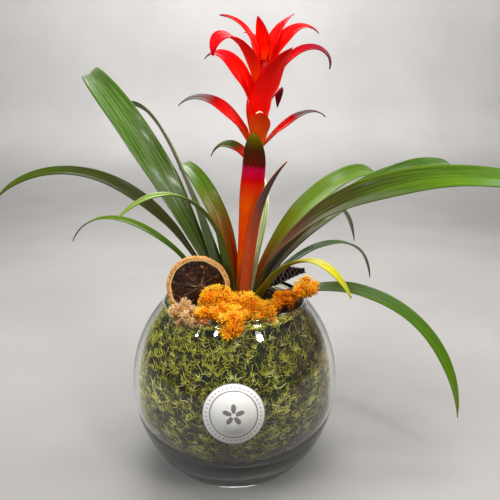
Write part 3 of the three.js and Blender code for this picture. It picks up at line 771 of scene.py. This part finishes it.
def heapTufts(lumps, count, size, bottom):
    total = sum(a * b + b * c + a * c for *_, a, b, c in lumps)
    found = []
    for x, y, z, a, b, c in lumps:
        for i in range(int(count * (a * b + b * c + a * c) / total)):
            way = anyWay()
            skin = Vector((x + way.x * a, y + way.y * b, z + way.z * c))
            normal = Vector((way.x / a, way.y / b, way.z / c)).normalized()
            depths = ((skin.x - p) ** 2 / (d * d) + (skin.y - q) ** 2 / (e * e) + (skin.z - r) ** 2 / (f * f)
                      for p, q, r, d, e, f in lumps)
            tall = spread(*size)
            foot = skin - normal * tall * 0.8
            lean = (normal + Vector([gauss(0, 0.45) for k in range(3)])).normalized()
            tip = foot + lean * tall
            aside = lean.orthogonal() * 1.5
            reached = (foot.lerp(tip, 0.45), tip, tip + aside, tip - aside)
            if any(depth < 0.7 for depth in depths) or not all(isFree(spot, 0.3, bottom) for spot in reached):
                continue
            turn = up.rotation_difference(lean).to_matrix() @ Matrix.Rotation(random() * tau, 3, "Z")
            # Tufts that point up are painted lighter and those that point down darker: painted light from
            # above, with random tone
            light = 0.55 + 0.3 * lean.z + gauss(0, 0.18)
            light -= 0.42 * smooth((60 - foot.x) / 9) * smooth((foot.x - 35) / 6)  # brown near the rim
            found.append((setDown(foot, tall, turn), clamped(light)))
    return found


def heapCore(lumps, share=0.72):
    bm = bmesh.new()
    for x, y, z, a, b, c in lumps:
        centre = Vector((x, y, z))
        for vert in bmesh.ops.create_icosphere(bm, subdivisions=2, radius=1.0)["verts"]:
            bulge = 1 + 0.1 * noise(vert.co * 3 + centre)
            spot = centre + Vector((vert.co.x * a, vert.co.y * b, vert.co.z * c)) * share * bulge
            if not isFree(spot):
                spot = centre + (spot - centre) * 0.4
            vert.co = spot * mm
    return bm


# Dry dyed lichen: IOR 1.4, rough 0.9, pale dry tips over a darker orange at each tuft's foot: partly a deeper
# dye, partly painted shade in the hollows
def lichenMaterial(name, stops, hollowShade):
    material, shader = newMaterial(name)
    shade, tall = add("SeparateXYZ", add("UVMap", uv_map="Tint")).node.outputs[:2]
    place = add("TexCoord", out="Object")
    blotch = add("TexNoise", place, 55.0, 3.0, 0.55)  # dye blotches about 18 mm across
    blotch = add("Math", blotch, 0.48, **minus)
    dyed = add("ValToRGB", add("Math", blotch, 1.2, shade, **timesPlus), stops=stops)
    colour = add("Mix", add("MapRange", tall, 0.1, 0.6, 0.0, 1.0, **soft), srgb(hollowShade), dyed, **blend)
    fill(shader, Base_Color=colour, Roughness=0.9, IOR=1.4, Specular_IOR_Level=0.2,
         Normal=add("Bump", Strength=0.3, Distance=0.0003, Height=add("TexNoise", place, 1500.0, 2.0, 0.55)))
    return material


orangeLichen = lichenMaterial("Orange dyed lichen", {
    0: "9c4a0c", 0.14: "d87008", 0.34: "fb980a", 0.6: "ffb612", 1: "ffd848"}, "c4660c")
tanLichen = lichenMaterial("Tan dyed lichen", {0: "c0945c", 0.4: "e8bc84", 1: "f6deb2"}, "a07440")
seed(23)
# Lumps as place and three radii in mm, then the knobs on each, the tufts, their size, the lowest place
lichens = {
    "orange_lichen_heap": ([(-14, -38, 173, 19, 15, 18), (9, -38, 168, 20, 14, 17),
        (27, -40, 164, 13, 12, 13), (-6, -52, 168, 23, 13, 9), (-25, -50, 165, 9, 9, 9),
        (-1, -66, 168, 8, 9, 7), (1, -70, 161, 9, 8, 9)],
        9, 2350, (3.8, 7), 157, orangeLichen, "orange_lichen"),
    "orange_lichen_rim": ([(68, -13, 179, 10, 10, 10), (61, -16, 176, 8, 8, 8), (50, -19, 170, 9, 6, 5),
        (42, -20, 167, 6, 6, 6)], 5, 640, (3.6, 6.5), 157, orangeLichen, "orange_lichen"),
    "tan_lichen": ([(-42, -42, 166, 13, 9, 9), (-31, -51, 163, 14, 8, 8), (-48, -39, 161, 9, 8, 8),
        (-40, -50, 158, 10, 7, 7)], 8, 900, (3.4, 6), 149, tanLichen, "tan_lichen"),}
for name, (heap, budCount, count, size, bottom, material, slot) in lichens.items():
    knobs = budded(heap, budCount)
    lumps = [(x, y, z, a * 0.9, b * 0.9, c * 0.9) for x, y, z, a, b, c in heap] + knobs
    scattered("look_" + name, tuft, heapTufts(lumps, count, size, bottom), [material], slot, [name])
    newPiece("look_" + name + "_core", heapCore(heap + knobs), [material], slot)
print("lichen done")


# Dried orange slice: sunken dark flesh between pale skins, a pith line and a wrinkled rind

seed(31)
front = dried["thickness"] / 2
rings = [2, 4, 6, 8, 10, 12, 14, 16, 18, 20, 21.5, 23, 24.2, 25.2, 26, 26.8]
corner = [(27.6, front - 0.3), (28.2, front - 0.9), (28.5, front - 1.8)]
driedProfile = [(0.0, front)] + [(r, front) for r in rings] + corner
driedBm = turned(driedProfile + [(r, -z) for r, z in reversed(driedProfile)], 150)
skins = [i * tau / dried["segments"] + spread(-0.12, 0.12) for i in range(dried["segments"])]
hub = Vector((2.0, 0.5, 0))


# Distance in mm to the nearest skin between the segments, and the share of the radius
def sliceCell(co):
    spot = Vector((co.x, co.y, 0)) / mm - hub
    angle = atan2(spot.y, spot.x)
    gap = min(abs((angle - skin + pi) % tau - pi) for skin in skins)
    return min(spot.length * sin(min(gap, 1.2)), 9.0), hypot(co.x, co.y) / mm / dried["radius"]


driedBm.verts.index_update()
cells = [sliceCell(vert.co) for vert in driedBm.verts]
mapUv(driedBm, "Cell", lambda vert: (cells[vert.index][0] / 10, cells[vert.index][1]))
mapUv(driedBm, "Polar", lambda vert: (atan2(vert.co.y, vert.co.x) / tau + 0.5, cells[vert.index][1]))
for vert in driedBm.verts:
    away, out = cells[vert.index]
    sunk = 1.5 * (0.6 + 0.4 * smooth((away - 0.3) / 1.6)) * (1 - smooth((out - 0.78) / 0.09))
    rough = noise(vert.co * 320) * 0.45 + noise(vert.co * 800) * 0.2
    if out < 0.93:
        vert.co.z -= (1 if vert.co.z > 0 else -1) * (sunk - rough) * mm
    angle = atan2(vert.co.y, vert.co.x)
    wrinkle = 1 + (0.012 * sin(angle * 3 + 1) + 0.008 * sin(angle * 11)) * out
    warp = 0.8 * sin(angle * 2 + 0.6) * out * out * mm
    warped = Vector((vert.co.x * wrinkle, vert.co.y * wrinkle, vert.co.z + warp))
    vert.co = driedTurn @ warped + dried["centre"] * mm
# Dried citrus: IOR 1.45; glossy candied flesh, roughness 0.3, and matt leathery rind, 0.6
peel, shader = newMaterial("Dried orange slice")
place = add("TexCoord", out="Object")
away, out = add("SeparateXYZ", add("UVMap", uv_map="Cell")).node.outputs[:2]
sacs = add("Mapping", add("UVMap", uv_map="Polar"), Scale=(44, 7, 1))
sacs = add("TexNoise", sacs, 1.0, 4.0, 0.55)  # juice sacs run outward, 4 mm wide
pulp = add("Mix", 0.55, sacs, add("TexNoise", place, 330.0, 6.0, 0.7), **blend)
pores = add("TexNoise", place, 650.0, 2.0, 0.55)  # oil pores 1.5 mm apart
torn = add("TexNoise", place, 260.0, 4.0, 0.55)  # skins torn every 4 mm
colour = add("ValToRGB", pulp, stops={0.4: "0c0503", 0.5: "1c0c06", 0.56: "48240f", 0.62: "8a5c34",
                                      0.7: "c89a6a"})
inner = add("MapRange", out, 0.15, 0.5, 0.8, 0.08, **soft)
skinShare = add("Math", add("MapRange", torn, 0.44, 0.6, 0.05, 1.0, **soft), inner, **times)
skinLine = add("MapRange", add("Math", pulp, 0.06, away, **timesPlus), 0.04, 0.1, 1.0, 0.0, **soft)
colour = add("Mix", add("Math", skinLine, skinShare, **times), colour, srgb("a88058"), **blend)
pith = add("MapRange", out, 0.835, 0.86, 0.0, 1.0, **soft)
colour = add("Mix", pith, colour, srgb("e2bc80"), **blend)
rind = add("ValToRGB", pores, stops={0.3: "925a26", 0.5: "c68c48", 0.7: "e6b878"})
gland = add("MapRange", add("TexVoronoi", place, 430.0), 0.16, 0.34, 0.85, 0.0, **soft)
rind = add("Mix", gland, rind, srgb("4a1e08"), **blend)
colour = add("Mix", add("MapRange", out, 0.875, 0.9, 0.0, 1.0, **soft), colour, rind, **blend)
height = add("Math", pores, 0.6, add("Math", pulp, 0.6, **times), **timesPlus)
fill(shader, Base_Color=colour, IOR=1.45, Roughness=add("MapRange", pith, 0.0, 1.0, 0.32, 0.65, **soft),
     Normal=add("Bump", Strength=0.7, Distance=0.0012, Height=height))
newPiece("look_orange_slice", driedBm, [peel], "dried_citrus", ["dried_orange_slice"])
print("slice done")


# Small open cone: rows of woody scales round a thin core

seed(41)
cone = {"length": 60, "radius": 14, "centre": Vector((44, 38, 176.4)), "tilt": 8, "scales": 90,
        "spiral": 2.39996}
coneTurn = Matrix.Rotation(radians(90 - cone["tilt"]), 3, "Y")
coneLine = ((0.0, 0.0), (0.6, 0.02), (0.95, 0.14), (1.0, 0.28), (0.86, 0.45), (0.6, 0.65), (0.38, 0.82),
            (0.16, 0.96), (0.0, 1.0))


def coneWidth(t):
    for (r0, t0), (r1, t1) in zip(coneLine, coneLine[1:]):
        if t <= t1:
            return (r0 + (r1 - r0) * (t - t0) / (t1 - t0)) * cone["radius"]


coreBm = turned([(coneWidth(t / 20) * 0.55, (t / 20 - 0.5) * cone["length"] * 0.94) for t in range(21)], 24)
for vert in coreBm.verts:
    vert.co = coneTurn @ vert.co + cone["centre"] * mm
scaleBm = bmesh.new()
bmesh.ops.create_icosphere(scaleBm, subdivisions=2, radius=1.0)
for vert in scaleBm.verts:
    x, y, z = vert.co
    vert.co = Vector((x * 0.95, y * 0.3 - 0.1 * z * z * (1 - x * x), z * 0.5 + 0.5))
scales = []
for i in range(cone["scales"]):
    t = 0.05 + 0.9 * (i + 0.5) / cone["scales"]
    turn = i * cone["spiral"]
    reach = coneWidth(t)
    opened = radians(58 - 34 * t)
    out = around(1, turn, 0)
    way = (out * sin(opened) + up * cos(opened)).normalized()
    side = up.cross(out)
    foot = out * reach * 0.42 + Vector((0, 0, (t - 0.5) * cone["length"] - reach * 0.25))
    tall = max(reach * 0.7, 3.0)
    basis = Matrix((side * tall * 0.75, way.cross(side) * tall * 0.9, way * tall)).transposed()
    scales.append((setDown(cone["centre"] + coneTurn @ foot, 1, coneTurn @ basis), random()))
# Weathered wood: rough 0.8, grey-pink toward each scale's tip and dark brown toward its foot: partly worn
# wood, partly painted shade between the scales
coneWood, shader = newMaterial("Weathered cone scales")
tall = add("SeparateXYZ", add("UVMap", uv_map="Tint"), out="Y")
grain = add("TexNoise", add("TexCoord", out="Object"), 700.0, 4.0, 0.55)
wearAndShade = add("Math", add("Math", grain, 0.5, **minus), 0.5, tall, **timesPlus)
colour = add("ValToRGB", wearAndShade, stops={0.3: "120a08", 0.6: "2e1e1a", 0.85: "5a4644", 1: "8c7672"})
fill(shader, Base_Color=colour, Roughness=0.8,
     Normal=add("Bump", Strength=0.6, Distance=0.0006, Height=grain))
scattered("look_cone_scales", template(scaleBm), scales, [coneWood], "cone", ["pine_cone"])
# The cone's core is the same wood, rough 0.9: dark wood, painted near black as the shade between the scales
coneCore, shader = newMaterial("Dark cone core")
grain = add("TexNoise", add("TexCoord", out="Object"), 500.0, 3.0, 0.55)
fill(shader, Base_Color=add("ValToRGB", grain, stops={0.3: "0e0806", 0.7: "2a1c16"}), Roughness=0.9)
newPiece("look_cone_core", coreBm, [coneCore], "cone")
print("cone done")


# Cream flower in the front cup bract

flower = {"start": 165, "foot": 8.4, "azimuth": -89, "length": 17, "radius": 2, "spread": 2.2, "rise": 82}
budLine = ((0.0, 0.0), (0.6, 0.04), (0.85, 0.2), (1.0, 0.4), (0.98, 0.6), (0.9, 0.75), (0.72, 0.88),
           (0.5, 0.95), (0.3, 0.985), (0.0, 1.0))
budBm = turned([(r * flower["radius"], t * flower["length"]) for r, t in budLine], 36)
budPlace = (Matrix.Translation((crown["x"] * mm, 0, crown["height"] * mm))
            @ Matrix.Rotation(radians(crown["lean"]), 4, "Y")
            @ Matrix.Rotation(radians(flower["azimuth"]), 4, "Z")
            @ Matrix.Translation((flower["foot"] * mm, 0, flower["start"] * mm))
            @ Matrix.Rotation(radians(90 - flower["rise"]), 4, "Y"))
for vert in budBm.verts:
    fold = 1 + 0.09 * cos(3 * atan2(vert.co.y, vert.co.x)) * smooth(vert.co.z / 0.008)
    vert.co = Vector((vert.co.x * fold, vert.co.y * fold * flower["spread"], vert.co.z))
bmesh.ops.transform(budBm, matrix=budPlace, verts=budBm.verts)
# Soft petal: rough 0.5, cream with fine darker grain
petal, shader = newMaterial("Cream petal")
fine = add("TexNoise", add("TexCoord", out="Object"), 900.0, 3.0, 0.55)
fill(shader, Base_Color=add("ValToRGB", fine, stops={0.3: "e2cf94", 0.7: "f6ecc8"}), Roughness=0.5,
     Normal=add("Bump", Strength=0.3, Distance=0.0003, Height=fine))
newPiece("look_flower", budBm, [petal], "petal", ["flower_front"])

# Fibrous stalk: rough 0.6, orange-brown below and red between the bracts
stalk, shader = newMaterial("Flower stalk")
place = add("TexCoord", out="Object")
fibre = add("TexNoise", add("Mapping", place, Scale=(900, 900, 60)), 1.0, 3.0, 0.55)
above = add("MapRange", add("SeparateXYZ", place, out="Z"), 0.26, 0.32, 0.0, 1.0, **soft)
woody = add("ValToRGB", fibre, stops={0.3: "6a3a14", 0.6: "a86424", 0.8: "c88a3c"})
red = add("ValToRGB", fibre, stops={0.3: "8c0c08", 0.8: "c81a10"})
fill(shader, Base_Color=add("Mix", above, woody, red, **blend), Roughness=0.6,
     Normal=add("Bump", Strength=0.4, Distance=0.0004, Height=fibre))
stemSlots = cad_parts["flower_stem"].data.materials
stemSlots.clear()
stemSlots.append(stalk)


# Round paper label with a plain ring, dots and a rosette

label = {"radius": 26, "height": 99, "azimuth": -89, "gap": 0.3, "thickness": 0.3, "sides": 96, "dots": 40}
labelBm = bmesh.new()
bmesh.ops.create_circle(labelBm, cap_ends=True, segments=label["sides"], radius=label["radius"])
for ring in range(8):
    middle = [face for face in labelBm.faces if len(face.verts) == label["sides"]]
    bmesh.ops.inset_region(labelBm, faces=middle, thickness=3.0, use_even_offset=False)
bmesh.ops.poke(labelBm, faces=[face for face in labelBm.faces if len(face.verts) == label["sides"]])
mapUv(labelBm, "Label", lambda vert: (vert.co.x / label["radius"], vert.co.y / label["radius"]))
rise = (label["height"] - bowl["belly"]) / bowl["outerRise"]
for vert in labelBm.verts:
    z = label["height"] + vert.co.y * sqrt(1 - rise * rise)
    radius = outerRadius(z) + label["gap"]
    turn = radians(label["azimuth"]) + vert.co.x / radius
    vert.co = around(radius, turn, z) * mm
bmesh.ops.recalc_face_normals(labelBm, faces=labelBm.faces)

# Satin label paper: rough 0.42, thin clear varnish; grey print lies flat in it. Shares of the radius.
paper, shader = newMaterial("White label paper")
u, v = add("SeparateXYZ", add("UVMap", uv_map="Label")).node.outputs[:2]
reach = add("Math", add("Math", u, u, add("Math", v, v, **times), **timesPlus), operation="SQRT")
angle = add("Math", v, u, operation="ARCTAN2")
ringAway = add("Math", add("Math", reach, 0.76, **minus), operation="ABSOLUTE")
ringLine = add("MapRange", ringAway, 0.011, 0.027, 1.0, 0.0, **soft)
edgeLine = add("MapRange", reach, 0.965, 0.985, 0.0, 1.0, **soft)
dotShare = add("Math", add("Math", angle, label["dots"] / tau, **times), operation="FRACT")
dotTurn = add("Math", add("Math", dotShare, 0.5, **minus), tau / label["dots"] * 0.87, **times)
dotOut = add("Math", reach, 0.87, **minus)
dotAway = add("Math", dotTurn, dotTurn, add("Math", dotOut, dotOut, **times), **timesPlus)
dots = add("MapRange", add("Math", dotAway, operation="SQRT"), 0.02, 0.036, 0.8, 0.0, **soft)
petalTurn = add("Math", add("Math", angle, pi / 2, **minus), 2.5, **times)
petalEdge = add("Math", add("Math", petalTurn, operation="COSINE"), operation="ABSOLUTE")
petals = add("MapRange", add("Math", petalEdge, -0.36, reach, **timesPlus), -0.01, 0.01, 1.0, 0.0, **soft)
eye = add("MapRange", reach, 0.07, 0.085, 0.0, 1.0, **soft)
ink = add("Math", petals, eye, **times)
for line in (ringLine, edgeLine, dots):
    ink = add("Math", ink, line, operation="MAXIMUM")
fibre = add("TexNoise", add("TexCoord", out="Object"), 1200.0, 3.0, 0.55)
white = add("ValToRGB", fibre, stops={0.3: "d2cfce", 0.7: "dedbd9"})
printed = add("Mix", add("Math", ink, 0.85, **times), white, srgb("47454a"), **blend)
fill(shader, Base_Color=printed, Roughness=0.42, Coat_Weight=0.2,
     Normal=add("Bump", Strength=0.08, Distance=0.0002, Height=fibre))
labelPiece = newPiece("look_label", labelBm, [paper], "paper", ["paper_label"])
film = labelPiece.modifiers.new("thickness", "SOLIDIFY")
film.thickness = label["thickness"] * mm
film.offset = 1
print("label done")

bpy.context.view_layer.update()
